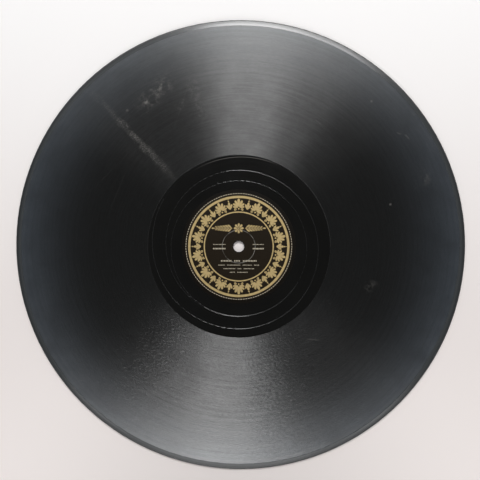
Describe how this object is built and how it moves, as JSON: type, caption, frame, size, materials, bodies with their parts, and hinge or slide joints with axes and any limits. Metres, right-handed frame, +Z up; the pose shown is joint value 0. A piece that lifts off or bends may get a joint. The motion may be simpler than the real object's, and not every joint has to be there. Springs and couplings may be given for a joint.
{
  "type": "shellac record",
  "caption": "Black shellac gramophone disc with a grooved band, smooth run-out land, spindle hole and a gold-printed black paper label moulded into each face.",
  "frame": {"origin": "centre of the spindle hole, on the plane of the lower lands that the disc lies on", "axes": "+Z up out of side A along the spindle hole, +Y to where the run-out groove leaves the recorded band, +X to the right of that"},
  "size_m": [0.3, 0.3, 0.0024],
  "materials": {
    "shellac": "polished black shellac compound, drawn out along the grooves on the recorded band",
    "label_paper": "warm black coated paper, printed in gold, pressed flat with the disc"
  },
  "bodies": {
    "root": {"disc": "shellac", "label_side_a": "label_paper", "label_side_b": "label_paper"}
  },
  "joints": []
}
